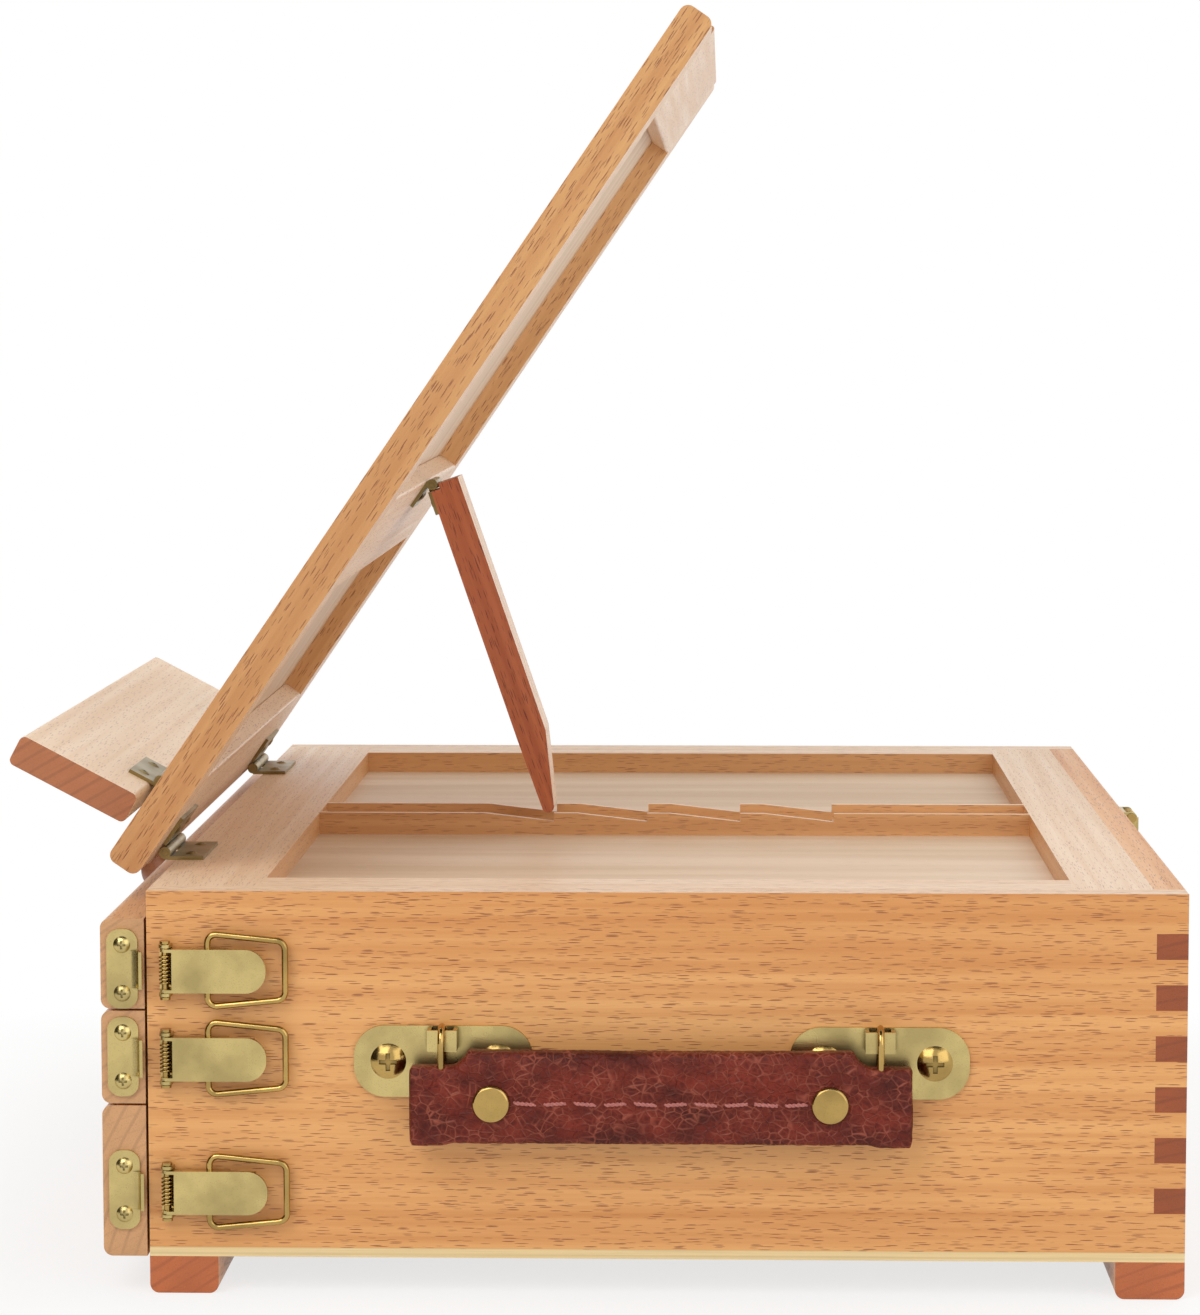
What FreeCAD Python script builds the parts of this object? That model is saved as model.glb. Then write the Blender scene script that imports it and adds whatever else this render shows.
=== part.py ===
import FreeCAD, Part
import math
import os

os.makedirs("parts", exist_ok=True)
V = FreeCAD.Vector

# A wooden sketch box with three drawers, a carrying handle and a propped easel frame on its top.
# Millimetres. X runs from the drawer fronts to the back, Y from the handle side to the far side, Z up.
# Pieces are drawn from the box's front lower corner on the handle side, and shifted together at the
# end, so that the origin lies at the middle of the whole object's footprint, on the surface it stands on.

# Box
SIDE_LENGTH = 330.0
BOX_WIDTH = 420.0
WALL = 10.0
WALL_HEIGHT = 115.0
FLOOR_PLY = 3.0
FOOT_HEIGHT = 12.0
FOOT_WIDTH = 22.0
FOOT_ROUND = 3.0
FINGER_COUNT = 6
FINGER_HEIGHT = 8.2
FINGER_PITCH = 16.3
EDGE_ROUND = 0.8

# Top of the box
RAIL_THICKNESS = 8.0
TOP_PLY = 4.0
END_RAIL_WIDTH = 35.0
SIDE_RAIL_WIDTH = 30.0
NOTCH_BAR_WIDTH = 30.0
NOTCH_COUNT = 4
FIRST_NOTCH_X = 118.9
NOTCH_PITCH = 34.2
NOTCH_DEPTH = 3.0
NOTCH_RAMP = 25.5
CORE_DROP = 5.6
CORE_NOTCH_DEPTH = 1.6
FOOT_PLAY = 0.3

# Drawers
FRONT_THICKNESS = 14.0
FRONT_GAP = 0.8
FRONT_ROUND = 3.0
FRONT_SPACING = 0.7
BOTTOM_FRONT_HEIGHT = 48.8
MIDDLE_FRONT_HEIGHT = 29.9
TOP_FRONT_HEIGHT = 28.9
DRAWER_BACK_GAP = 20.0
DRAWER_WALL = 8.0
DRAWER_PLY = 3.0
DRAWER_PLAY = 0.5
DRAWER_SETBACK = 2.0
RUNNER_OUT = 3.9
RUNNER_HEIGHT = 5.4
RUNNER_PLAY = 0.3
RUNNER_INSET = 4.0
KNOB_RADIUS = 9.0
KNOB_LENGTH = 18.5
KNOB_FOOT_RADIUS = 6.5
KNOB_NECK_RADIUS = 4.6
KNOB_FOOT = 3.0

# Toggle latches and their catches
LEVER_LENGTH = 32.3
LEVER_WIDTH = 14.0
SHEET = 1.0
LATCH_PIN_RADIUS = 1.1
LATCH_PIN_RISE = 3.0
LATCH_HEAD_RADIUS = 1.7
LATCH_HEAD = 0.8
EAR_GAP = 0.3
RUN_PLAY = 0.05
LEVER_RISE = 5.6
LEVER_START = 2.4
LEVER_CHEEK = 20.0
LEVER_CHEEK_FOOT = 1.4
BASE_LENGTH = 28.0
EAR_WIDTH = 4.0
BASE_WIDTH = 12.0
BAIL_PIVOT = 13.5
BAIL_LENGTH = 24.7
BAIL_ROOT_HALF = 11.8
BAIL_END_HALF = 9.3
BAIL_WIRE_RADIUS = 1.05
BAIL_BEND = 2.8
SPRING_WIRE_RADIUS = 0.35
SPRING_RADIUS = 1.65
SPRING_TURNS = 8
SPRING_PITCH = 1.2
SIDE_LATCH_INSET = 6.3
BACK_LATCH_DROP = 2.0
TOP_LATCH_SHIFT = -1.5
MIDDLE_LATCH_SHIFT = 0.3
BOTTOM_LATCH_SHIFT = -2.7
CATCH_WIDTH = 9.9
CATCH_LENGTH = 25.6
CATCH_SCREW_SPACING = 15.6
HOOK_LENGTH = 12.0
HOOK_RADIUS = 5.0
HOOK_REACH = 1.9
CATCH_INSET = 0.1
PANEL_CATCH_BACK = 21.0

# Screws
SMALL_HEAD_RADIUS = 2.7
SMALL_HEAD = 1.2
SMALL_SHANK_RADIUS = 1.3
SMALL_SCREW_LENGTH = 7.0
FLUSH_HEAD = 0.6
SADDLE_HEAD_RADIUS = 5.7
SADDLE_HEAD = 2.2
SADDLE_SHANK_RADIUS = 2.0
SADDLE_SCREW_LENGTH = 9.0

# Handle
HANDLE_CENTRE_X = 163.7
RING_IN = 10.1
SADDLE_LENGTH = 57.0
SADDLE_HEIGHT = 23.0
SADDLE_BASE_Z = 64.3
SADDLE_SHEET = 1.2
SADDLE_CORNER = 10.0
SADDLE_SCREW_OUT = 17.5
BRIDGE_WIDTH = 9.4
HANDLE_AXIS_RISE = 19.2
HANDLE_AXIS_OUT = 7.2
RING_RADIUS = 4.6
RING_WIRE_RADIUS = 1.1
RING_DROP = 13.5
RING_PLAY = 0.08
GRIP_LENGTH = 158.6
GRIP_HEIGHT = 31.2
GRIP_THICKNESS = 10.0
GRIP_STANDOFF = 4.5
GRIP_DROP = 13.7
GRIP_ROUND = 3.0
GRIP_END_STEP = 5.4
GRIP_END_FLAT = 15.8
GRIP_END_RUN = 18.6
RIVET_IN = 26.0
RIVET_RISE = 14.3
RIVET_RADIUS = 5.9
RIVET_HEAD = 1.6
RIVET_SHANK_RADIUS = 2.0

# Easel frame, its hinges, the prop strut and the ledge
REST_ANGLE = 55.6
PIN_OUT = 4.0
HINGE_LENGTH = 37.0
HINGE_LEAF = 13.0
HINGE_SHEET = 1.2
KNUCKLE_RADIUS = 2.0
HINGE_PIN_RADIUS = 1.0
HINGE_PLAY = 0.3
HINGE_OUT = 121.5
PANEL_WIDTH = 342.0
PANEL_LENGTH = 335.5
PANEL_THICKNESS = 11.4
BOARD_PLY = 3.6
PANEL_OVERHANG = 6.0
PANEL_END_ROUND = 3.0
STILE_WIDTH = 28.0
TOP_RAIL_WIDTH = 35.0
CROSS_RAIL_WIDTH = 36.0
BOTTOM_RAIL_WIDTH = 36.0
STRUT_PIVOT = 143.0
STRUT_THICKNESS = 11.0
STRUT_BOARD_GAP = 0.3
STRUT_WIDTH = 24.4
STRUT_TIP = 4.4
STRUT_BEVEL = 27.0
STRUT_TIP_RISE = 0.4
STRUT_HINGE_LENGTH = 24.0
STRUT_LEAF = 11.0
TIP_CLEARANCE = 0.35
LEDGE_DEPTH = 43.5
LEDGE_THICKNESS = 10.5
LEDGE_LENGTH = 300.0
LEDGE_START = 2.5
LEDGE_GAP = 4.2
LEDGE_LEAN = 6.5
LEDGE_ROUND = 2.0
LEDGE_HINGE_OUT = 100.0
LEDGE_LEAF = 11.0

# Levels and places that follow
FLOOR_Z = FOOT_HEIGHT + FLOOR_PLY
TOP_Z = FLOOR_Z + WALL_HEIGHT
RECESS_Z = TOP_Z - RAIL_THICKNESS
CEILING_Z = RECESS_Z - TOP_PLY
MID_Y = BOX_WIDTH / 2
INNER_X = SIDE_LENGTH - WALL
INNER_FAR = BOX_WIDTH - WALL
DRAWER_DEPTH = INNER_X - DRAWER_BACK_GAP
FRONT_BACK_X = -FRONT_GAP
FRONT_FACE_X = FRONT_BACK_X - FRONT_THICKNESS
HINGE_SEAT = KNUCKLE_RADIUS + HINGE_PLAY
PIN = V(-PIN_OUT, 0, TOP_Z + HINGE_SEAT)
UNDER_Q = HINGE_SEAT
FACE_Q = UNDER_Q + PANEL_THICKNESS
BOARD_Q = FACE_Q - BOARD_PLY
PANEL_NEAR = MID_Y - PANEL_WIDTH / 2
PANEL_FAR = MID_Y + PANEL_WIDTH / 2
PANEL_TOP_P = PANEL_LENGTH - PANEL_OVERHANG
CORE_Z = TOP_Z - CORE_DROP
STRUT_PIN = V(PIN.x + STRUT_PIVOT, 0, PIN.z)
STRUT_HIGH_Q = BOARD_Q - STRUT_BOARD_GAP
STRUT_LOW_Q = STRUT_HIGH_Q - STRUT_THICKNESS
STRUT_TIP_Q = STRUT_LOW_Q + STRUT_TIP_RISE + STRUT_TIP / 2
RING_OUT = GRIP_LENGTH / 2 - RING_IN
RING_XS = (HANDLE_CENTRE_X - RING_OUT, HANDLE_CENTRE_X + RING_OUT)
GRIP_LOW_Z = SADDLE_BASE_Z - GRIP_DROP
GRIP_TOP_Z = GRIP_LOW_Z + GRIP_HEIGHT
GRIP_FACE_Y = -GRIP_STANDOFF - GRIP_THICKNESS
HANDLE_AXIS_Z = SADDLE_BASE_Z + HANDLE_AXIS_RISE
BRIDGE_RADIUS = RING_RADIUS - RING_WIRE_RADIUS - RING_PLAY


def block(x0, x1, y0, y1, z0, z1):
    return Part.makeBox(x1 - x0, y1 - y0, z1 - z0, V(x0, y0, z0))


def long_edges(shape, axis):
    """The straight edges of a shape that run along one axis."""
    found = []
    for edge in shape.Edges:
        if isinstance(edge.Curve, Part.Line) and abs(edge.Curve.Direction.dot(axis)) > 0.999:
            found.append(edge)
    return found


def bar(x0, x1, y0, y1, z0, z1, axis, radius=EDGE_ROUND):
    """A bar with its long edges eased."""
    shape = block(x0, x1, y0, y1, z0, z1)
    return shape.makeFillet(radius, long_edges(shape, axis))


def prism(points, along):
    """A polygon pushed along a vector."""
    return Part.Face(Part.makePolygon(points + points[:1])).extrude(along)


def rod(start, end, radius):
    return Part.makeCylinder(radius, (end - start).Length, start, end - start)


def moved(shape, origin, u, w, n):
    """A shape drawn along u, w and n, set at a place in the box."""
    place = FreeCAD.Placement(origin, FreeCAD.Rotation(u, w, n, "XYZ"))
    return shape.transformed(place.toMatrix(), copy=True)


def turned(shape, centre, degrees):
    """A copy turned about a line along Y; a positive angle lifts the back end."""
    copy = shape.copy()
    copy.rotate(centre, V(0, 1, 0), -degrees)
    return copy


def at_rest(shape):
    """A piece drawn on the closed easel frame, lifted to its propped angle."""
    return turned(shape, PIN, REST_ANGLE)


def frame_point(p, q, y=0.0):
    """A point of the closed frame: p along it from the pin, q up from the pin."""
    return V(PIN.x + p, y, PIN.z + q)


def bent_path(points, radius):
    """Straight runs through points, joined by arcs of one radius."""
    edges = []
    last = points[0]
    for before, corner, after in zip(points, points[1:], points[2:]):
        arrive = (corner - before).normalize()
        leave = (after - corner).normalize()
        half = math.acos(max(-1.0, min(1.0, arrive.dot(leave)))) / 2
        reach = radius * math.tan(half)
        start = corner - arrive * reach
        end = corner + leave * reach
        inward = (leave - arrive).normalize()
        middle = corner + inward * (radius / math.cos(half) - radius)
        edges.append(Part.LineSegment(last, start).toShape())
        edges.append(Part.Arc(start, middle, end).toShape())
        last = end
    edges.append(Part.LineSegment(last, points[-1]).toShape())
    return Part.Wire(edges)


def wire_along(path, radius):
    """Round wire along a path."""
    first = path.OrderedEdges[0]
    start = first.valueAt(first.FirstParameter)
    section = Part.Wire(Part.makeCircle(radius, start, first.tangentAt(first.FirstParameter)))
    return path.makePipeShell([section], True, False)


def screw(head_radius, head, shank_radius, length):
    """A cross-head screw along n, with its domed head on the plane n = 0, and the shank's own cutter."""
    ball = (head_radius ** 2 + head ** 2) / (2 * head)
    dome = Part.makeSphere(ball, V(0, 0, head - ball)).common(block(-ball, ball, -ball, ball, 0, 2 * head))
    slot = 0.13 * head_radius
    arm = 0.5 * head_radius
    cross = block(-arm, arm, -slot, slot, 0.45 * head, 2 * head)
    cross = cross.fuse(block(-slot, slot, -arm, arm, 0.45 * head, 2 * head))
    shank = Part.makeCylinder(shank_radius, length, V(0, 0, -length))
    return dome.cut(cross).fuse(shank).removeSplitter(), shank


class Screws:
    """Screws of one node, with the cutters that make room for their shanks."""

    def __init__(self):
        self.solids = []
        self.cutters = []

    def add(self, sizes, place):
        solid, shank = screw(*sizes)
        self.solids.append(place(solid))
        self.cutters.append(place(shank))

    def seat(self, shape):
        """Drills a piece for the shanks that reach it."""
        for cutter in self.cutters:
            if shape.BoundBox.intersect(cutter.BoundBox):
                shape = shape.cut(cutter)
        return shape


SMALL_SCREW = (SMALL_HEAD_RADIUS, SMALL_HEAD, SMALL_SHANK_RADIUS, SMALL_SCREW_LENGTH)
FLUSH_SCREW = (SMALL_HEAD_RADIUS - 0.5, FLUSH_HEAD, SMALL_SHANK_RADIUS, SMALL_SCREW_LENGTH)
SADDLE_SCREW = (SADDLE_HEAD_RADIUS, SADDLE_HEAD, SADDLE_SHANK_RADIUS, SADDLE_SCREW_LENGTH)


# Box shell

def finger_spans():
    """Heights of the back wall's fingers, centred on the wall."""
    middle = FLOOR_Z + WALL_HEIGHT / 2
    for index in range(FINGER_COUNT):
        centre = middle + (index - (FINGER_COUNT - 1) / 2) * FINGER_PITCH
        yield centre - FINGER_HEIGHT / 2, centre + FINGER_HEIGHT / 2


def side_wall(y0):
    wall = block(0, SIDE_LENGTH, y0, y0 + WALL, FLOOR_Z, TOP_Z)
    for low, high in finger_spans():
        wall = wall.cut(block(INNER_X, SIDE_LENGTH, y0, y0 + WALL, low, high))
    return wall


def back_wall():
    wall = block(INNER_X, SIDE_LENGTH, WALL, INNER_FAR, FLOOR_Z, TOP_Z)
    for low, high in finger_spans():
        wall = wall.fuse(block(INNER_X, SIDE_LENGTH, 0, BOX_WIDTH, low, high))
    return wall.removeSplitter()


def feet():
    bars = []
    for x0 in (0, SIDE_LENGTH - FOOT_WIDTH):
        foot = block(x0, x0 + FOOT_WIDTH, 0, BOX_WIDTH, 0, FOOT_HEIGHT)
        low = [edge for edge in long_edges(foot, V(0, 1, 0)) if edge.BoundBox.ZMax < FOOT_HEIGHT / 2]
        bars.append(foot.makeFillet(FOOT_ROUND, low))
    return bars


def pivot_at(angle):
    """The strut's pin, along the box and up, when the frame stands at an angle."""
    slope = math.radians(angle)
    return PIN.x + STRUT_PIVOT * math.cos(slope), PIN.z + STRUT_PIVOT * math.sin(slope)


def strut_lines(lift):
    """Length of the strut to the middle of its foot, and its slopes folded and propped, in degrees.

    The propped foot is over the first notch, a given lift above the core's crests."""
    pivot_x, pivot_z = pivot_at(REST_ANGLE)
    run = FIRST_NOTCH_X - pivot_x
    drop = pivot_z - (CORE_Z + lift + STRUT_TIP / 2)
    length = math.hypot(run, drop)
    folded = math.degrees(math.asin(STRUT_TIP_Q / length))
    return length, folded, -math.degrees(math.atan2(drop, run))


def least_foot_height(lift):
    """Lowest point of the foot over the whole fold; the strut turns in a constant ratio to the frame."""
    length, folded, propped = strut_lines(lift)
    steps = 80
    heights = []
    for index in range(steps + 1):
        part_way = index / steps
        slope = math.radians(folded + (propped - folded) * part_way)
        heights.append(pivot_at(REST_ANGLE * part_way)[1] + length * math.sin(slope) - STRUT_TIP / 2)
    return min(heights)


def strut_lift():
    """Least lift of the propped foot that keeps it clear of the core over the whole fold."""
    low, high = 0.0, STRUT_PIVOT / 4
    for step in range(50):
        lift = (low + high) / 2
        if least_foot_height(lift) < CORE_Z + TIP_CLEARANCE:
            low = lift
        else:
            high = lift
    return high


STRUT_LIFT = strut_lift()
STRUT_LENGTH, STRUT_FOLDED, STRUT_PROPPED = strut_lines(STRUT_LIFT)
STRUT_TURN = REST_ANGLE + STRUT_FOLDED - STRUT_PROPPED


def toothed_strip(near, far, crest, depth):
    """A strip along the box with evenly spaced ramped notches in its top."""
    body = block(END_RAIL_WIDTH, SIDE_LENGTH - END_RAIL_WIDTH, near, far, RECESS_Z, crest)
    for index in range(NOTCH_COUNT):
        step = FIRST_NOTCH_X + STRUT_TIP / 2 + index * NOTCH_PITCH
        ramp = [V(step - NOTCH_RAMP, near, crest), V(step, near, crest - depth),
                V(step, near, crest + depth), V(step - NOTCH_RAMP, near, crest + depth)]
        body = body.cut(prism(ramp, V(0, far - near, 0)))
    return body


def notch_bar():
    """A low toothed core between two toothed cheeks level with the rails; the strut's foot runs between them."""
    channel = STRUT_WIDTH / 2 + FOOT_PLAY
    edge = NOTCH_BAR_WIDTH / 2
    return [toothed_strip(MID_Y - edge, MID_Y - channel, TOP_Z, NOTCH_DEPTH),
            toothed_strip(MID_Y - channel, MID_Y + channel, CORE_Z, CORE_NOTCH_DEPTH),
            toothed_strip(MID_Y + channel, MID_Y + edge, TOP_Z, NOTCH_DEPTH)]


def box_shell():
    side_rails = []
    for y0 in (WALL, BOX_WIDTH - SIDE_RAIL_WIDTH):
        y1 = y0 + SIDE_RAIL_WIDTH - WALL
        side_rails.append(block(END_RAIL_WIDTH, SIDE_LENGTH - END_RAIL_WIDTH, y0, y1, RECESS_Z, TOP_Z))
    return {
        "side_wall_near": [side_wall(0)],
        "side_wall_far": [side_wall(INNER_FAR)],
        "back_wall": [back_wall()],
        "bottom_panel": [block(0, SIDE_LENGTH, 0, BOX_WIDTH, FOOT_HEIGHT, FLOOR_Z)],
        "feet": feet(),
        "top_front_rail": [block(0, END_RAIL_WIDTH, WALL, INNER_FAR, RECESS_Z, TOP_Z)],
        "top_back_rail": [block(SIDE_LENGTH - END_RAIL_WIDTH, INNER_X, WALL, INNER_FAR, RECESS_Z, TOP_Z)],
        "top_side_rails": side_rails,
        "notch_bar": notch_bar(),
        "top_panel": [block(0, INNER_X, WALL, INNER_FAR, CEILING_Z, RECESS_Z)],
    }


# Drawers: name, height of the front's lower edge, front height, latch shift, hung on runners
def drawer_rows():
    low = FOOT_HEIGHT
    rows = []
    for name, height, shift, hung in (("bottom", BOTTOM_FRONT_HEIGHT, BOTTOM_LATCH_SHIFT, False),
                                      ("middle", MIDDLE_FRONT_HEIGHT, MIDDLE_LATCH_SHIFT, True),
                                      ("top", TOP_FRONT_HEIGHT, TOP_LATCH_SHIFT, True)):
        rows.append((name, low, height, low + height / 2 + shift, hung))
        low += height + FRONT_SPACING
    return rows


def drawer_levels(low, height):
    """Lower and upper edges of a drawer's tray, kept under the box's ceiling and above its floor."""
    bottom = max(low + DRAWER_SETBACK, FLOOR_Z + RUNNER_PLAY)
    top = min(low + height - DRAWER_SETBACK, CEILING_Z - DRAWER_SETBACK)
    return bottom, top


def runner_span(low, height):
    bottom, top = drawer_levels(low, height)
    middle = (bottom + top) / 2
    return middle - RUNNER_HEIGHT / 2, middle + RUNNER_HEIGHT / 2


def knob():
    """A turned knob along +X, with its foot on the plane x = 0."""
    way = V(1, 0, 0)
    foot = Part.makeCone(KNOB_FOOT_RADIUS, KNOB_NECK_RADIUS, KNOB_FOOT, V(0, 0, 0), way)
    neck = Part.makeCylinder(KNOB_NECK_RADIUS, KNOB_LENGTH - KNOB_RADIUS, V(0, 0, 0), way)
    head = Part.makeSphere(KNOB_RADIUS, V(KNOB_LENGTH - KNOB_RADIUS, 0, 0))
    behind = block(-2 * KNOB_RADIUS, 0, -KNOB_RADIUS, KNOB_RADIUS, -KNOB_RADIUS, KNOB_RADIUS)
    return foot.fuse([neck, head]).cut(behind).removeSplitter()


def catch_plate():
    """A catch in u, w, n: plate on n = 0, with a tongue towards +u turned up into a hook."""
    half = CATCH_LENGTH / 2
    side = HOOK_LENGTH / 2
    plate = block(-CATCH_WIDTH / 2, CATCH_WIDTH / 2, -half, half, 0, SHEET)
    plate = plate.makeFillet(0.42 * CATCH_WIDTH, long_edges(plate, V(0, 0, 1)))
    centre = V(CATCH_WIDTH / 2 + HOOK_REACH - HOOK_RADIUS, 0, HOOK_RADIUS)
    plate = plate.cut(block(centre.x, CATCH_WIDTH, -side, side, 0, SHEET))
    ring = rod(centre - V(0, side, 0), centre + V(0, side, 0), HOOK_RADIUS)
    ring = ring.cut(rod(centre - V(0, half, 0), centre + V(0, half, 0), HOOK_RADIUS - SHEET))
    keep = block(centre.x, centre.x + 2 * HOOK_RADIUS, -half, half, 0, HOOK_RADIUS)
    return plate.fuse(ring.common(keep)).removeSplitter()


def catch_with_screws(origin, u, w, n):
    """The catch plate and its screws set on a face."""
    screws = Screws()
    for side in (-1, 1):
        spot = origin + w * (side * CATCH_SCREW_SPACING / 2) + n * SHEET
        screws.add(SMALL_SCREW, lambda solid: moved(solid, spot, u, w, n))
    plate = screws.seat(moved(catch_plate(), origin, u, w, n))
    return plate, screws


def drawer(name, low, height, latch_z, hung):
    """One drawer's nodes, closed in the box."""
    bottom, top = drawer_levels(low, height)
    near = WALL + DRAWER_PLAY
    far = INNER_FAR - DRAWER_PLAY
    rear = DRAWER_DEPTH
    front = block(FRONT_FACE_X, FRONT_BACK_X, 0, BOX_WIDTH, low, low + height)
    eased = [edge for edge in long_edges(front, V(0, 1, 0)) if edge.BoundBox.XMax < FRONT_FACE_X + 1]
    front = front.makeFillet(FRONT_ROUND, eased)
    sides = [block(FRONT_BACK_X, rear, near, near + DRAWER_WALL, bottom, top),
             block(FRONT_BACK_X, rear, far - DRAWER_WALL, far, bottom, top)]
    if hung:
        groove_low, groove_high = runner_span(low, height)
        groove_low -= RUNNER_PLAY
        groove_high += RUNNER_PLAY
        depth = RUNNER_OUT + RUNNER_PLAY - DRAWER_PLAY
        sides[0] = sides[0].cut(block(FRONT_BACK_X, rear, near, near + depth, groove_low, groove_high))
        sides[1] = sides[1].cut(block(FRONT_BACK_X, rear, far - depth, far, groove_low, groove_high))
    inner_near = near + DRAWER_WALL
    inner_far = far - DRAWER_WALL
    back = block(rear - DRAWER_WALL, rear, inner_near, inner_far, bottom, top)
    ply = block(FRONT_BACK_X, rear - DRAWER_WALL, inner_near, inner_far, bottom, bottom + DRAWER_PLY)
    pull = moved(knob(), V(FRONT_FACE_X, MID_Y, low + height / 2), V(-1, 0, 0), V(0, -1, 0), V(0, 0, 1))
    catch_x = FRONT_BACK_X - CATCH_INSET - HOOK_REACH - CATCH_WIDTH / 2
    plate, screws = catch_with_screws(V(catch_x, 0, latch_z), V(1, 0, 0), V(0, 0, 1), V(0, -1, 0))
    return {
        name + "_drawer_front": [screws.seat(front)],
        name + "_drawer_walls": sides + [back],
        name + "_drawer_bottom": [ply],
        name + "_drawer_knob": [pull],
        name + "_drawer_catch": [plate] + screws.solids,
    }


def drawer_runners():
    """Strips on the side walls that carry the two upper drawers."""
    strips = []
    for name, low, height, latch_z, hung in drawer_rows():
        if not hung:
            continue
        z0, z1 = runner_span(low, height)
        strips.append(block(RUNNER_INSET, DRAWER_DEPTH, WALL, WALL + RUNNER_OUT, z0, z1))
        strips.append(block(RUNNER_INSET, DRAWER_DEPTH, INNER_FAR - RUNNER_OUT, INNER_FAR, z0, z1))
    return strips


# Toggle latch in u, w, n: u from the pin to the lever's free end, w along the pin, n off the wall

def latch_base():
    inner = LEVER_WIDTH / 2 + EAR_GAP
    edge = EAR_WIDTH / 2
    plate = block(-edge, BASE_LENGTH, -BASE_WIDTH / 2, BASE_WIDTH / 2, 0, SHEET)
    pieces = [block(-edge, edge, -inner - SHEET, inner + SHEET, 0, SHEET)]
    for w0 in (-inner - SHEET, inner):
        foot = block(-edge, edge, w0, w0 + SHEET, 0, LATCH_PIN_RISE)
        pieces += [foot, Part.makeCylinder(edge, SHEET, V(0, w0, LATCH_PIN_RISE), V(0, 1, 0))]
    return plate.fuse(pieces).removeSplitter().cut(pin_bore(0, LATCH_PIN_RISE, LATCH_PIN_RADIUS))


def pin_bore(u, n, radius):
    return rod(V(u, -LEVER_WIDTH, n), V(u, LEVER_WIDTH, n), radius + RUN_PLAY)


def latch_pin():
    end = LEVER_WIDTH / 2 + 2 * EAR_GAP + SHEET
    pin = rod(V(0, -end, LATCH_PIN_RISE), V(0, end, LATCH_PIN_RISE), LATCH_PIN_RADIUS)
    heads = [rod(V(0, side * end, LATCH_PIN_RISE), V(0, side * (end + LATCH_HEAD), LATCH_PIN_RISE),
                 LATCH_HEAD_RADIUS) for side in (-1, 1)]
    return pin.fuse(heads).removeSplitter()


def latch_lever():
    half = LEVER_WIDTH / 2
    top = block(LEVER_START, LEVER_LENGTH, -half, half, LEVER_RISE - SHEET, LEVER_RISE)
    tip = [edge for edge in long_edges(top, V(0, 0, 1)) if edge.BoundBox.XMin > LEVER_LENGTH / 2]
    top = top.makeFillet(0.95 * half, tip)
    pieces = []
    for w0 in (-half, half - SHEET):
        cheek = block(0, LEVER_CHEEK, w0, w0 + SHEET, LEVER_CHEEK_FOOT, LEVER_RISE)
        eye = Part.makeCylinder(LATCH_PIN_RISE - LEVER_CHEEK_FOOT, SHEET, V(0, w0, LATCH_PIN_RISE), V(0, 1, 0))
        pieces += [cheek, eye]
    lever = top.fuse(pieces).removeSplitter()
    lever = lever.cut(pin_bore(0, LATCH_PIN_RISE, LATCH_PIN_RADIUS))
    return lever.cut(pin_bore(BAIL_PIVOT, LATCH_PIN_RISE, BAIL_WIRE_RADIUS))


def latch_bail():
    root = LEVER_WIDTH / 2 - SHEET - EAR_GAP
    end_u = BAIL_PIVOT + BAIL_LENGTH
    outline = [(BAIL_PIVOT, root), (BAIL_PIVOT, BAIL_ROOT_HALF), (end_u, BAIL_END_HALF),
               (end_u, -BAIL_END_HALF), (BAIL_PIVOT, -BAIL_ROOT_HALF), (BAIL_PIVOT, -root)]
    path = bent_path([V(u, w, LATCH_PIN_RISE) for u, w in outline], BAIL_BEND)
    return wire_along(path, BAIL_WIRE_RADIUS)


def biarc(start, start_way, end, end_way):
    """Two tangent arcs from one point and direction to another."""
    gap = end - start
    both = start_way + end_way
    spread = 2 * (1 - start_way.dot(end_way))
    reach = (-gap.dot(both) + math.sqrt(gap.dot(both) ** 2 + spread * gap.dot(gap))) / spread
    joint = (start + end + (start_way - end_way) * reach) * 0.5
    arcs = []
    for first, corner, last in ((start, start + start_way * reach, joint), (joint, end - end_way * reach, end)):
        chord = (first + last) * 0.5
        cosine = (last - first).normalize().dot((corner - first).normalize())
        middle = chord + (corner - chord) * (cosine / (1 + cosine))
        arcs.append(Part.Arc(first, middle, last).toShape())
    return arcs


def spring_point(turn):
    """A point of the spring's helix and its direction, counted in turns from its middle."""
    angle = 2 * math.pi * turn
    place = V(SPRING_RADIUS * math.cos(angle), SPRING_PITCH * turn,
              LATCH_PIN_RISE - SPRING_RADIUS * math.sin(angle))
    way = V(-SPRING_RADIUS * math.sin(angle), SPRING_PITCH / (2 * math.pi), -SPRING_RADIUS * math.cos(angle))
    return place, way.normalize()


def latch_spring():
    quarters = 4 * SPRING_TURNS
    places = [spring_point(index / 4 - SPRING_TURNS / 2) for index in range(quarters + 1)]
    lead = 2 * SPRING_WIRE_RADIUS
    first, first_way = places[0]
    last, last_way = places[-1]
    edges = [Part.LineSegment(first - first_way * lead, first).toShape()]
    for (start, start_way), (end, end_way) in zip(places, places[1:]):
        edges += biarc(start, start_way, end, end_way)
    edges.append(Part.LineSegment(last, last + last_way * lead).toShape())
    return wire_along(Part.Wire(edges), SPRING_WIRE_RADIUS)


def spring_gap():
    """Least gap between neighbouring curls, measured on points of the helix."""
    least = math.inf
    steps = 24
    points = [spring_point(index / steps)[0] for index in range(3 * steps)]
    for index, point in enumerate(points):
        for other in points[index + steps // 2:]:
            least = min(least, (point - other).Length)
    return least - 2 * SPRING_WIRE_RADIUS


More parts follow.
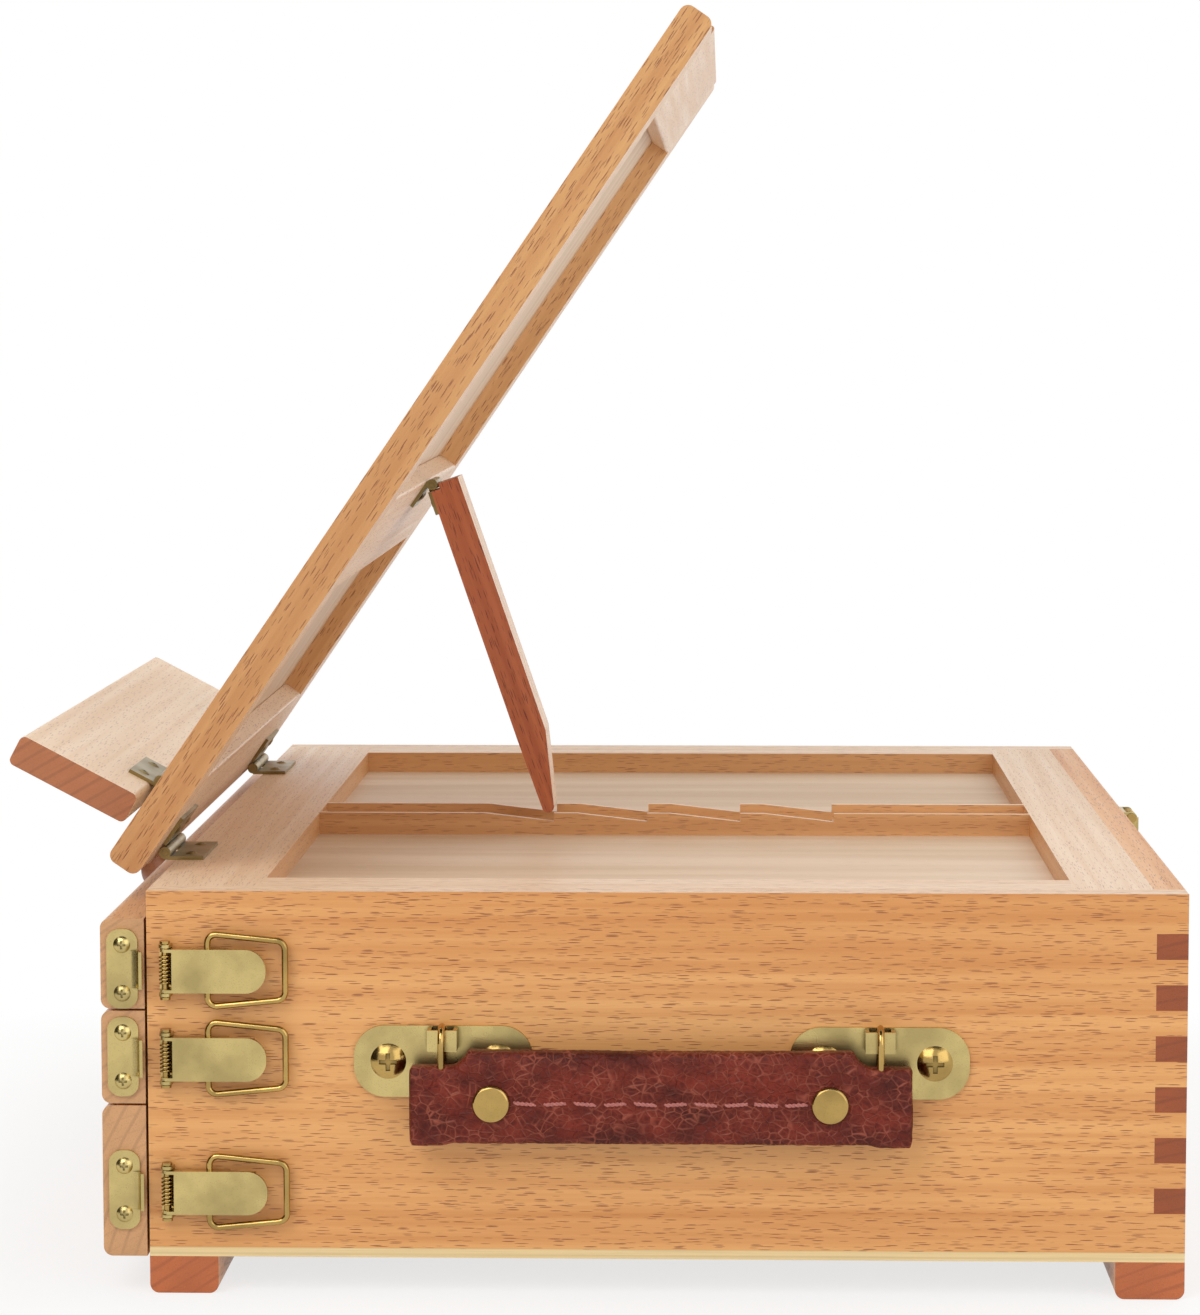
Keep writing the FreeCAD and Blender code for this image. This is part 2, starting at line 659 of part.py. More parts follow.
def latch_places():
    """Name, origin and the directions u, w, n of each latch."""
    rows = []
    for name, low, height, latch_z, hung in drawer_rows():
        rows.append((name, V(SIDE_LATCH_INSET, 0, latch_z), V(1, 0, 0), V(0, 0, 1), V(0, -1, 0)))
    rows.append(("back", V(SIDE_LENGTH, MID_Y, TOP_Z - BACK_LATCH_DROP), V(0, 0, -1), V(0, 1, 0), V(1, 0, 0)))
    return rows


def latches(box_screws):
    """Fixed and moving latch pieces; the base screws join the box's own."""
    fixed = {"latch_base_plates": [], "latch_pins": [], "latch_springs": []}
    moving = {}
    for name, origin, u, w, n in latch_places():
        own = Screws()
        for along in (0.3 * BASE_LENGTH, 0.8 * BASE_LENGTH):
            spot = origin + u * along + n * SHEET
            own.add(SMALL_SCREW, lambda solid: moved(solid, spot, u, w, n))
        fixed["latch_base_plates"].append(own.seat(moved(latch_base(), origin, u, w, n)))
        fixed["latch_pins"].append(moved(latch_pin(), origin, u, w, n))
        fixed["latch_springs"].append(moved(latch_spring(), origin, u, w, n))
        box_screws.solids += own.solids
        box_screws.cutters += own.cutters
        moving[name + "_latch_lever"] = [moved(latch_lever(), origin, u, w, n)]
        moving[name + "_latch_bail"] = [moved(latch_bail(), origin, u, w, n)]
    return fixed, moving


# Handle

def bridge_height():
    """Height of the bridge's legs, which stay inside the ring's bearing circle."""
    return 2 * math.sqrt(BRIDGE_RADIUS ** 2 - (SADDLE_SHEET / 2) ** 2)


def saddle(x):
    """A saddle plate with a bridge whose rounded strip carries the ring."""
    half = SADDLE_LENGTH / 2
    plate = block(x - half, x + half, -SADDLE_SHEET, 0, SADDLE_BASE_Z, SADDLE_BASE_Z + SADDLE_HEIGHT)
    plate = plate.makeFillet(SADDLE_CORNER, long_edges(plate, V(0, 1, 0)))
    side = BRIDGE_WIDTH / 2
    out = -HANDLE_AXIS_OUT - SADDLE_SHEET / 2
    axis = V(x, -HANDLE_AXIS_OUT, HANDLE_AXIS_Z)
    bearing = rod(axis - V(side, 0, 0), axis + V(side, 0, 0), BRIDGE_RADIUS)
    slab = block(x - side, x + side, out, out + SADDLE_SHEET, SADDLE_BASE_Z, 2 * HANDLE_AXIS_Z - SADDLE_BASE_Z)
    pieces = [bearing.common(slab)]
    low = HANDLE_AXIS_Z - bridge_height() / 2
    high = HANDLE_AXIS_Z + bridge_height() / 2
    for x0 in (x - side, x + side - SADDLE_SHEET):
        pieces.append(block(x0, x0 + SADDLE_SHEET, out, 0, low, high))
    return plate.fuse(pieces).removeSplitter()


def handle_ring(x):
    """A long wire loop round the bridge; its upper bend turns about the handle's axis."""
    upper = V(x, -HANDLE_AXIS_OUT, HANDLE_AXIS_Z)
    lower = upper - V(0, 0, RING_DROP)
    out = V(0, RING_RADIUS, 0)
    up = V(0, 0, RING_RADIUS)
    edges = [Part.LineSegment(lower + out, upper + out).toShape(),
             Part.Arc(upper + out, upper + up, upper - out).toShape(),
             Part.LineSegment(upper - out, lower - out).toShape(),
             Part.Arc(lower - out, lower - up, lower + out).toShape()]
    return wire_along(Part.Wire(edges), RING_WIRE_RADIUS)


def handle_grip():
    """The leather grip: a thick strap with lower tabs at its ends."""
    left = HANDLE_CENTRE_X - GRIP_LENGTH / 2
    right = HANDLE_CENTRE_X + GRIP_LENGTH / 2
    grip = bar(left, right, GRIP_FACE_Y, -GRIP_STANDOFF, GRIP_LOW_Z, GRIP_TOP_Z, V(1, 0, 0), GRIP_ROUND)
    step = GRIP_TOP_Z - GRIP_END_STEP
    for end, way in ((left, 1), (right, -1)):
        corner = [V(end, GRIP_FACE_Y, step), V(end + way * GRIP_END_FLAT, GRIP_FACE_Y, step),
                  V(end + way * GRIP_END_RUN, GRIP_FACE_Y, GRIP_TOP_Z), V(end, GRIP_FACE_Y, GRIP_TOP_Z)]
        grip = grip.cut(prism(corner, V(0, GRIP_THICKNESS, 0)))
    return grip


def rivet():
    """A tubular rivet along n: a domed head on n = 0 and a shank through the leather."""
    head = Part.makeCylinder(RIVET_RADIUS, RIVET_HEAD)
    rim = [edge for edge in head.Edges if edge.BoundBox.ZMin > RIVET_HEAD / 2]
    head = head.makeFillet(0.7 * RIVET_HEAD, rim)
    return head.fuse(Part.makeCylinder(RIVET_SHANK_RADIUS, GRIP_THICKNESS, V(0, 0, -GRIP_THICKNESS)))


def handle_pieces():
    grip = handle_grip()
    rings = [handle_ring(x) for x in RING_XS]
    grip = grip.cut(rings)
    rivets = []
    for side in (-1, 1):
        x = HANDLE_CENTRE_X + side * (GRIP_LENGTH / 2 - RIVET_IN)
        spot = V(x, GRIP_FACE_Y, GRIP_LOW_Z + RIVET_RISE)
        rivets.append(moved(rivet(), spot, V(1, 0, 0), V(0, 0, 1), V(0, -1, 0)).removeSplitter())
        grip = grip.cut(rod(spot, spot + V(0, GRIP_THICKNESS, 0), RIVET_SHANK_RADIUS))
    return {"handle_grip": [grip], "handle_rivets": rivets, "handle_rings": rings}


def saddle_pieces():
    screws = Screws()
    for x in RING_XS:
        for side in (-1, 1):
            spot = V(x + side * SADDLE_SCREW_OUT, -SADDLE_SHEET, SADDLE_BASE_Z + SADDLE_HEIGHT / 2)
            screws.add(SADDLE_SCREW, lambda solid: moved(solid, spot, V(1, 0, 0), V(0, 0, 1), V(0, -1, 0)))
    return [screws.seat(saddle(x)) for x in RING_XS], screws


# Butt hinges in a, w, b: the pin lies along w, the leaf runs along +a with its outer face at b = -seat

def hinge_leaf(length, leaf, outer, seat):
    """One leaf with its knuckles: the two end ones, or the middle one."""
    third = length / 6
    inset = 0 if outer else HINGE_PLAY / 2
    spans = [(-length / 2, -third), (third, length / 2)] if outer else [(inset - third, third - inset)]
    low = -seat
    plate = block(HINGE_SEAT, leaf, -length / 2, length / 2, low, low + HINGE_SHEET)
    pieces = []
    for w0, w1 in spans:
        pieces.append(block(0, HINGE_SEAT, w0, w1, low, low + HINGE_SHEET))
        pieces.append(rod(V(0, w0, 0), V(0, w1, 0), KNUCKLE_RADIUS))
    shape = plate.fuse(pieces).removeSplitter()
    return shape.cut(rod(V(0, -length, 0), V(0, length, 0), HINGE_PIN_RADIUS + RUN_PLAY))


def hinge_pin(length):
    return rod(V(0, -length / 2, 0), V(0, length / 2, 0), HINGE_PIN_RADIUS)


def fixed_leaf(origin, a, w, b, length, leaf, outer, screws, seat=HINGE_SEAT):
    """A leaf on its seat, with two flush screws into the wood under it."""
    own = Screws()
    for side in (-1, 1):
        spot = origin + a * (0.62 * leaf) + w * (side * 0.3 * length) + b * (HINGE_SHEET - seat)
        own.add(FLUSH_SCREW, lambda solid: moved(solid, spot, a, w, b))
    screws.solids += own.solids
    screws.cutters += own.cutters
    return own.seat(moved(hinge_leaf(length, leaf, outer, seat), origin, a, w, b))


# Easel frame, drawn closed and lifted afterwards

LEDGE_PIN_P = LEDGE_START + LEDGE_THICKNESS + HINGE_SEAT
LEDGE_PIN_Q = FACE_Q + HINGE_SEAT
STRUT_RAIL_EDGE = STRUT_PIVOT - HINGE_PLAY


def frame_rail(p0, p1, y0, y1):
    """A rail behind the frame's board."""
    return bar(PIN.x + p0, PIN.x + p1, y0, y1, PIN.z + UNDER_Q, PIN.z + BOARD_Q, V(0, 1, 0))


def stile(y0):
    """A side member of the frame with its four end corners rounded."""
    shape = block(PIN.x - PANEL_OVERHANG, PIN.x + PANEL_TOP_P, y0, y0 + STILE_WIDTH,
                  PIN.z + UNDER_Q, PIN.z + FACE_Q)
    shape = shape.makeFillet(PANEL_END_ROUND, long_edges(shape, V(0, 1, 0)))
    return shape


def frame_pieces():
    """The easel frame's nodes at rest, and the fixed leaves' screws."""
    screws = Screws()
    inner_near = PANEL_NEAR + STILE_WIDTH
    inner_far = PANEL_FAR - STILE_WIDTH
    board = block(PIN.x - PANEL_OVERHANG, PIN.x + PANEL_TOP_P, inner_near, inner_far,
                  PIN.z + BOARD_Q, PIN.z + FACE_Q)
    wood = {
        "panel_board": board,
        "panel_near_stile": stile(PANEL_NEAR),
        "panel_far_stile": stile(PANEL_FAR - STILE_WIDTH),
        "panel_top_rail": frame_rail(PANEL_TOP_P - TOP_RAIL_WIDTH, PANEL_TOP_P, inner_near, inner_far),
        "panel_cross_rail": frame_rail(STRUT_RAIL_EDGE - CROSS_RAIL_WIDTH, STRUT_RAIL_EDGE,
                                       inner_near, inner_far),
        "panel_bottom_rail": frame_rail(-PANEL_OVERHANG, BOTTOM_RAIL_WIDTH - PANEL_OVERHANG,
                                        inner_near, inner_far),
    }
    right, up, far = V(1, 0, 0), V(0, 0, 1), V(0, 1, 0)
    panel_leaves = []
    ledge_leaves = []
    pins = []
    for side in (-1, 1):
        spot = V(PIN.x, MID_Y + side * HINGE_OUT, PIN.z)
        panel_leaves.append(fixed_leaf(spot, right, -far, -up, HINGE_LENGTH, HINGE_LEAF, False, screws))
        pins.append(moved(hinge_pin(HINGE_LENGTH), spot, right, far, up))
        spot = frame_point(LEDGE_PIN_P, LEDGE_PIN_Q, MID_Y + side * LEDGE_HINGE_OUT)
        ledge_leaves.append(fixed_leaf(spot, right, far, up, HINGE_LENGTH, LEDGE_LEAF, False, screws))
        pins.append(moved(hinge_pin(HINGE_LENGTH), spot, right, far, up))
    spot = frame_point(STRUT_PIVOT, 0, MID_Y)
    strut_leaf = fixed_leaf(spot, -right, far, -up, STRUT_HINGE_LENGTH, STRUT_LEAF, True, screws)
    pins.append(moved(hinge_pin(STRUT_HINGE_LENGTH), spot, right, far, up))
    catch_spot = frame_point(PANEL_TOP_P - PANEL_CATCH_BACK, FACE_Q, MID_Y)
    plate, catch_screws = catch_with_screws(catch_spot, right, far, up)
    nodes = {}
    for name, shape in wood.items():
        nodes[name] = [catch_screws.seat(screws.seat(shape))]
    nodes["panel_hinge_leaves"] = panel_leaves
    nodes["ledge_hinge_panel_leaves"] = ledge_leaves
    nodes["strut_hinge_rail_leaf"] = [strut_leaf]
    nodes["hinge_pins"] = pins
    nodes["panel_screws"] = screws.solids
    nodes["panel_catch"] = [plate] + catch_screws.solids
    return {name: [at_rest(shape) for shape in shapes] for name, shapes in nodes.items()}


def box_hinge_leaves(screws):
    leaves = []
    for side in (-1, 1):
        spot = V(PIN.x, MID_Y + side * HINGE_OUT, PIN.z)
        leaves.append(fixed_leaf(spot, V(1, 0, 0), V(0, 1, 0), V(0, 0, 1), HINGE_LENGTH, HINGE_LEAF, True, screws))
    return leaves


def ledge_pieces():
    """The ledge leaning a little past square to the frame, with its hinge leaves and their screws."""
    screws = Screws()
    low = FACE_Q + LEDGE_GAP
    board = bar(PIN.x + LEDGE_START, PIN.x + LEDGE_START + LEDGE_THICKNESS, MID_Y - LEDGE_LENGTH / 2,
                MID_Y + LEDGE_LENGTH / 2, PIN.z + low, PIN.z + low + LEDGE_DEPTH, V(0, 1, 0), LEDGE_ROUND)
    leaves = []
    for side in (-1, 1):
        spot = frame_point(LEDGE_PIN_P, LEDGE_PIN_Q, MID_Y + side * LEDGE_HINGE_OUT)
        leaves.append(fixed_leaf(spot, V(0, 0, 1), V(0, -1, 0), V(1, 0, 0), HINGE_LENGTH,
                                 LEDGE_LEAF, True, screws))
    board = screws.seat(board)

    def place(shape):
        return at_rest(turned(shape, frame_point(LEDGE_PIN_P, LEDGE_PIN_Q), LEDGE_LEAN))

    return {"ledge_board": [place(board)],
            "ledge_hinge_leaves": [place(leaf) for leaf in leaves] + [place(s) for s in screws.solids]}


# Prop strut, drawn folded behind the board and turned down afterwards

def strut_pieces():
    screws = Screws()
    near = MID_Y - STRUT_WIDTH / 2
    start = STRUT_PIVOT + HINGE_SEAT
    lip = STRUT_PIVOT + HINGE_PLAY
    end = STRUT_PIVOT + math.sqrt(STRUT_LENGTH ** 2 - STRUT_TIP_Q ** 2)
    half = STRUT_TIP / 2
    outline = [(start, STRUT_LOW_Q), (end - STRUT_BEVEL, STRUT_LOW_Q), (end, STRUT_TIP_Q - half),
               (end, STRUT_TIP_Q + half), (end - STRUT_BEVEL, STRUT_HIGH_Q), (lip, STRUT_HIGH_Q),
               (lip, HINGE_SEAT), (start, HINGE_SEAT)]
    body = prism([frame_point(p, q, near) for p, q in outline], V(0, STRUT_WIDTH, 0))
    foot = frame_point(end, STRUT_TIP_Q, near)
    body = body.fuse(rod(foot, foot + V(0, STRUT_WIDTH, 0), half)).removeSplitter()
    leaf = fixed_leaf(frame_point(STRUT_PIVOT, 0, MID_Y), V(1, 0, 0), V(0, -1, 0), V(0, 0, -1),
                      STRUT_HINGE_LENGTH, STRUT_LEAF, False, screws, STRUT_LOW_Q)
    body = screws.seat(body)

    def place(shape):
        return at_rest(turned(shape, STRUT_PIN, -STRUT_TURN))

    return {"prop_strut": [place(body)], "strut_hinge_leaf": [place(leaf)] + [place(s) for s in screws.solids]}


# Whole object

def build():
    """All nodes, each a list of solids."""
    box_screws = Screws()
    saddles, saddle_screws = saddle_pieces()
    fixed, moving = latches(box_screws)
    leaves = box_hinge_leaves(box_screws)
    nodes = {}
    for name, shapes in box_shell().items():
        nodes[name] = [saddle_screws.seat(box_screws.seat(shape)) for shape in shapes]
    nodes["drawer_runners"] = drawer_runners()
    for row in drawer_rows():
        nodes.update(drawer(*row))
    nodes.update(fixed)
    nodes.update(moving)
    nodes["box_hinge_leaves"] = leaves
    nodes["box_screws"] = box_screws.solids
    nodes["handle_saddles"] = saddles
    nodes["handle_saddle_screws"] = saddle_screws.solids
    nodes.update(handle_pieces())
    nodes.update(frame_pieces())
    nodes.update(ledge_pieces())
    nodes.update(strut_pieces())
    return nodes


def footprint_shift(nodes):
    """The move that brings the middle of the whole object's footprint to the origin."""
    bounds = FreeCAD.BoundBox()
    for shapes in nodes.values():
        for shape in shapes:
            bounds.add(shape.optimalBoundingBox(False))
    return V(-bounds.Center.x, -bounds.Center.y, -bounds.ZMin)


NODES = build()
SHIFT = footprint_shift(NODES)
for node, shapes in NODES.items():
    group = Part.makeCompound(shapes) if len(shapes) > 1 else shapes[0]
    group.translate(SHIFT)
    group.exportStep("parts/" + node + ".step")

print("nodes", len(NODES), "shift", [round(value, 3) for value in SHIFT])
print("least spring gap %.2f" % spring_gap())
print("strut length %.2f, turn %.2f, propped foot above the core %.2f" % (STRUT_LENGTH, STRUT_TURN, STRUT_LIFT))
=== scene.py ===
import math

import bmesh
import bpy
from mathutils import Euler, Matrix, Vector, noise


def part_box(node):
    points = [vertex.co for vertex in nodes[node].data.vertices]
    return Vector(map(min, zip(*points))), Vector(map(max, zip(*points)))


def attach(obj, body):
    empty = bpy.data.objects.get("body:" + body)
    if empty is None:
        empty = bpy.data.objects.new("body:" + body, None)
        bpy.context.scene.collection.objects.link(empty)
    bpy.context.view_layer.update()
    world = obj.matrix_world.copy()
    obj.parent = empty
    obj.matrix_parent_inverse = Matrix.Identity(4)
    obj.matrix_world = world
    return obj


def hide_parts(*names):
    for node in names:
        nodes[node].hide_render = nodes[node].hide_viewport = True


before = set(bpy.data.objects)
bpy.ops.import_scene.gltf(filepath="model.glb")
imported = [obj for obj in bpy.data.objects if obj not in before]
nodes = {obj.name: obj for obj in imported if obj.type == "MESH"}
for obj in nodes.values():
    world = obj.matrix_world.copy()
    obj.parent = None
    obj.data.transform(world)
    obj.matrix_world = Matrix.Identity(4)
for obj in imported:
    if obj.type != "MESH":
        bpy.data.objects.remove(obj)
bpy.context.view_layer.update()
scene = bpy.context.scene

# Camera, in metres and degrees of the row frame
CAMERA_PLACE = (0.04270, -1.41504, 0.31215)
CAMERA_YAW = 1.845
CAMERA_PITCH = -5.063
CAMERA_ROLL = -0.072
FOCAL_PIXELS = 3871.9
PHOTO_HEIGHT = 1315.0
SENSOR = 36.0

# Slopes of the propped frame and of its strut, in degrees
FRAME_SLOPE = 55.6
STRUT_SLOPE = -71.04

# Leather grip, in metres: its end tabs, soft edges and seam
TAB_STEP = 0.0054
TAB_FLAT = 0.0125
TAB_RUN = 0.0188
GRIP_SAG = 0.0008
GRIP_SQUARENESS = 4.6
GRIP_END_ROUND = 0.0014
GRIP_LIP = 0.0009
GRIP_LIP_START = 0.010
GRIP_LIP_END = 0.014
BACK_SHARE_AT_END = 0.82
BACK_RUN = 0.030
GRIP_STEPS = 230
GRIP_SIDES = 128
CREASE_DEPTH = 0.00016
CREASES_TO_METRE = 260.0
CREASE_STEEPNESS = 3.0
DENT_DEPTH = 0.0002
DENTS_TO_METRE = 90.0
SEAM_DEPTH = 0.0006
SEAM_HALF = 0.0008
STITCH_COUNT = 10
STITCH_STEPS = 40
STITCH_SHARE = 0.88
STITCH_RISE = 0.0005
STITCH_DIP = 0.0011
STITCH_SLANT = 0.0003
STITCH_BEND = 6
THREAD_RADIUS = 0.00042
THREAD_TWIST = 3.0
PLY_APART = 0.6

# Beech flecks: cells to the metre along and across the grain, width in cells, and depth of tone
DASHES = (((92, 1250, 1250), 0.22, 0.9), ((76, 1500, 1500), 0.2, 0.8), ((115, 1750, 1750), 0.21, 0.65))
FLECK_TINT = (0.46, 0.34, 0.38)

# Widths of the eased edges, in metres
WOOD_EASE = 0.0005
LEVER_EASE = 0.0008
SHEET_EASE = 0.0003

# Floor: its size, where it starts to fade beyond the object's footprint, and the share of white there
FLOOR_SIZE = 8
FOOTPRINT_HALF = (0.19, 0.21)
FADE_RUN = 0.12
FADE_START = 0.74

# Lamps: name, place, size and power; they look at one point
LAMPS = (("key", (-0.7, -1.3, 1.3), 1.2, 13.0), ("fill", (1.2, -1.4, 0.8), 1.4, 6.4),
         ("top", (0.2, 0.3, 1.9), 1.6, 5.0), ("rear", (1.3, 1.4, 0.7), 1.4, 8.0))
LAMP_TARGET = (0, 0, 0.15)
AMBIENT = 0.55

# Dark cards for reflections: name, place, turn and size
CARDS = (("card_above", (0.0, -0.45, 1.3), (0.0, 0.0, 0.0), (1.6, 0.9, 1.0)),
         ("card_left", (-0.6, 0.0, 0.3), (0.0, math.radians(90), 0.0), (0.6, 1.3, 1.0)))

DRAWERS = ("bottom", "middle", "top")
LATCHES = DRAWERS + ("back",)


def srgb(red, green, blue):
    """A colour as read on screen, made linear for a shader."""
    values = []
    for value in (red, green, blue):
        part = value / 255
        values.append(part / 12.92 if part <= 0.04045 else ((part + 0.055) / 1.055) ** 2.4)
    return (*values, 1.0)


def shade(colour, share):
    """A linear colour made darker or lighter."""
    return tuple(share * value for value in colour[:3]) + (1.0,)


class Shader:
    """One material and short ways to add and link its nodes."""

    def __init__(self, name):
        self.material = bpy.data.materials.new(name)
        self.material.use_nodes = True
        self.tree = self.material.node_tree
        self.tree.nodes.clear()
        self.output = self.tree.nodes.new("ShaderNodeOutputMaterial")
        self.surface = self.tree.nodes.new("ShaderNodeBsdfPrincipled")
        self.tree.links.new(self.surface.outputs[0], self.output.inputs["Surface"])
        self.coordinates = self.tree.nodes.new("ShaderNodeTexCoord")

    def put(self, socket, value):
        """Links a socket to another one, or sets its value."""
        if isinstance(value, bpy.types.NodeSocket):
            self.tree.links.new(value, socket)
        else:
            socket.default_value = value

    def node(self, kind, inputs=None, **settings):
        node = self.tree.nodes.new(kind)
        for key, value in settings.items():
            setattr(node, key, value)
        for key, value in (inputs or {}).items():
            self.put(node.inputs[key], value)
        return node

    def set(self, **inputs):
        for key, value in inputs.items():
            self.put(self.surface.inputs[key.replace("_", " ")], value)

    def place(self):
        return self.coordinates.outputs["Object"]

    def normal(self):
        return self.coordinates.outputs["Normal"]

    def turned(self, vector, turn):
        return self.node("ShaderNodeVectorRotate", {"Vector": vector, "Rotation": turn},
                         rotation_type="EULER_XYZ").outputs[0]

    def moved(self, vector, step):
        return self.node("ShaderNodeVectorMath", {0: vector, 1: step}, operation="ADD").outputs[0]

    def along(self, vector, axis):
        found = self.node("ShaderNodeVectorMath", {0: vector, 1: axis}, operation="DOT_PRODUCT")
        return found.outputs["Value"]

    def scaled(self, vector, scale):
        return self.node("ShaderNodeMapping", {"Vector": vector, "Scale": scale}).outputs[0]

    def noise(self, vector, scale, detail=2.0, rough=0.5):
        found = self.node("ShaderNodeTexNoise", {"Vector": self.scaled(vector, scale), "Scale": 1.0,
                                                 "Detail": detail, "Roughness": rough})
        return found.outputs["Fac"]

    def cells(self, vector, scale, feature="F1"):
        found = self.node("ShaderNodeTexVoronoi", {"Vector": self.scaled(vector, scale), "Scale": 1.0},
                          feature=feature)
        return found.outputs["Distance"]

    def rings(self, vector, centre, spacing, bend=1.5):
        """Rings round a line along X, 0 to 1, with a bright crest at each ring."""
        found = self.node("ShaderNodeTexWave", {"Vector": self.moved(vector, centre),
                                                "Scale": 2 * math.pi / (20 * spacing), "Distortion": bend,
                                                "Detail": 2.0, "Detail Scale": 0.6},
                          wave_type="RINGS", rings_direction="X")
        return found.outputs["Fac"]

    def ramp(self, value, low, high, start=0.0, end=1.0):
        """Maps low..high to start..end, held at both ends."""
        found = self.node("ShaderNodeMapRange", {"Value": value, "From Min": low, "From Max": high,
                                                 "To Min": start, "To Max": end})
        return found.outputs[0]

    def math(self, operation, first, second=0.0):
        return self.node("ShaderNodeMath", {0: first, 1: second}, operation=operation).outputs[0]

    def mix(self, factor, first, second):
        found = self.node("ShaderNodeMix", data_type="RGBA")
        for index, value in ((0, factor), (6, first), (7, second)):
            self.put(found.inputs[index], value)
        return found.outputs[2]

    def bump(self, height, distance, strength=1.0):
        found = self.node("ShaderNodeBump", {"Height": height, "Distance": distance, "Strength": strength})
        self.put(self.surface.inputs["Normal"], found.outputs[0])


def beech(name, turn, tones, end, fleck=1.0, offset=0.0, painted_light_faces=None):
    """Lacquered beech. turn brings the grain along X; the last argument holds paler tones and the way that
    the faces painted with them look, as painted light on the faces that catch the light.
    """
    made = Shader(name)
    grain = made.moved(made.turned(made.place(), turn), (offset, 0.37 * offset, 0.71 * offset))
    facing = made.along(made.turned(made.normal(), turn), (1, 0, 0))
    across_end = made.ramp(made.math("ABSOLUTE", facing), 0.7, 0.85)
    wide = made.noise(grain, (2.2, 26, 26), 3)
    streak = made.noise(grain, (5, 300, 300), 3)
    fine = made.noise(grain, (30, 2600, 2600), 2)
    tone = made.math("ADD", made.math("MULTIPLY", wide, 0.5), made.math("MULTIPLY", streak, 0.5))
    blend = made.ramp(tone, 0.39, 0.61)
    light, dark = tones
    wood = made.mix(blend, light, dark)
    if painted_light_faces:
        painted_light_tones, way = painted_light_faces
        # Painted light: faces that point along the way get the paler tones, as if lit from there.
        painted_light_mask = made.ramp(made.math("ABSOLUTE", made.along(made.normal(), way)), 0.5, 0.7)
        wood = made.mix(painted_light_mask, wood, made.mix(blend, *painted_light_tones))
    wood = made.mix(made.math("MULTIPLY", made.ramp(fine, 0.45, 0.75), 0.22), wood, dark)
    flecks = None
    for scale, width, depth in DASHES:
        dash = made.ramp(made.cells(grain, scale), 0.75 * width, width, depth * fleck, 0.0)
        flecks = made.math("MAXIMUM", flecks, dash) if flecks else dash
    fleck_tone = tuple(part * tint for part, tint in zip(dark, FLECK_TINT)) + (1.0,)
    wood = made.mix(flecks, wood, fleck_tone)
    rings = made.ramp(made.rings(grain, (0, 0.062, 0.055), 0.0044), 0.72, 0.98, 0.0, 0.5)
    rays = made.ramp(made.rings(grain, (0, -0.09, 0.085), 0.0052, 0.6), 0.9, 1.0, 0.0, 0.28)
    cloud = made.ramp(made.noise(grain, (60, 60, 60), 3), 0.35, 0.7, 0.0, 0.4)
    cut = made.mix(made.math("MAXIMUM", made.math("MAXIMUM", rings, rays), cloud), end, shade(end, 0.55))
    pores = made.cells(grain, (1700, 1700, 1700))
    cut = made.mix(made.ramp(pores, 0.1, 0.4, 0.28, 0.0), cut, shade(end, 0.45))
    made.set(Base_Color=made.mix(across_end, wood, cut), Roughness=made.ramp(streak, 0.3, 0.7, 0.36, 0.5))
    made.surface.inputs["Coat Weight"].default_value = 0.12
    made.surface.inputs["Coat Roughness"].default_value = 0.3
    made.bump(made.math("SUBTRACT", fine, flecks), 0.00006)
    return made.material


def plywood(name, turn, light, dark, edge, face_way):
    """Pale plywood: a quiet veneer on its faces, thin plies on its edges. face_way points off its face."""
    made = Shader(name)
    grain = made.turned(made.place(), turn)
    figure = made.noise(grain, (4, 60, 60), 4)
    fine = made.noise(grain, (20, 1500, 1500), 2)
    dash = made.ramp(made.cells(grain, (90, 1000, 1000)), 0.14, 0.2, 0.4, 0.0)
    face = made.mix(made.ramp(figure, 0.35, 0.65), light, dark)
    face = made.mix(made.math("MULTIPLY", made.ramp(fine, 0.45, 0.75), 0.3), face, dark)
    face = made.mix(dash, face, shade(dark, 0.6))
    flat = made.ramp(made.math("ABSOLUTE", made.along(made.normal(), face_way)), 0.6, 0.8)
    height = made.along(made.place(), face_way)
    plies = made.math("PINGPONG", made.math("MULTIPLY", height, 1000.0), 1.0)
    side = made.mix(made.ramp(plies, 0.55, 0.75, 0.0, 0.35), edge, shade(edge, 0.72))
    side = made.mix(made.math("MULTIPLY", made.ramp(fine, 0.45, 0.75), 0.35), side, shade(edge, 0.66))
    made.set(Base_Color=made.mix(flat, side, face), Roughness=made.ramp(figure, 0.3, 0.7, 0.45, 0.6))
    made.bump(fine, 0.00005)
    return made.material


def brass(name, tone, low, high):
    """Plated brass with a faint drawn texture, uneven polish, small pits and painted shade in its crevices.
    """
    made = Shader(name)
    cloud = made.noise(made.place(), (70, 70, 70), 3)
    drawn = made.noise(made.place(), (260, 2600, 2600), 2)
    pits = made.ramp(made.cells(made.place(), (1500, 1500, 1500)), 0.1, 0.28, 0.35, 0.0)
    body = made.mix(made.ramp(cloud, 0.38, 0.66), tone, shade(tone, 0.7))
    body = made.mix(pits, body, shade(tone, 0.4))
    # Painted shade: darker in crevices, recesses and where parts meet, found by ambient occlusion.
    shelter = made.node("ShaderNodeAmbientOcclusion", {"Distance": 0.0022}, samples=8, only_local=True)
    crevice_painted_shade = made.ramp(shelter.outputs["AO"], 0.35, 0.88, 0.9, 0.0)
    made.set(Base_Color=made.mix(crevice_painted_shade, body, shade(tone, 0.16)),
             Roughness=made.ramp(cloud, 0.3, 0.7, low, high), Metallic=1.0)
    made.bump(made.math("SUBTRACT", drawn, pits), 0.000015)
    return made.material


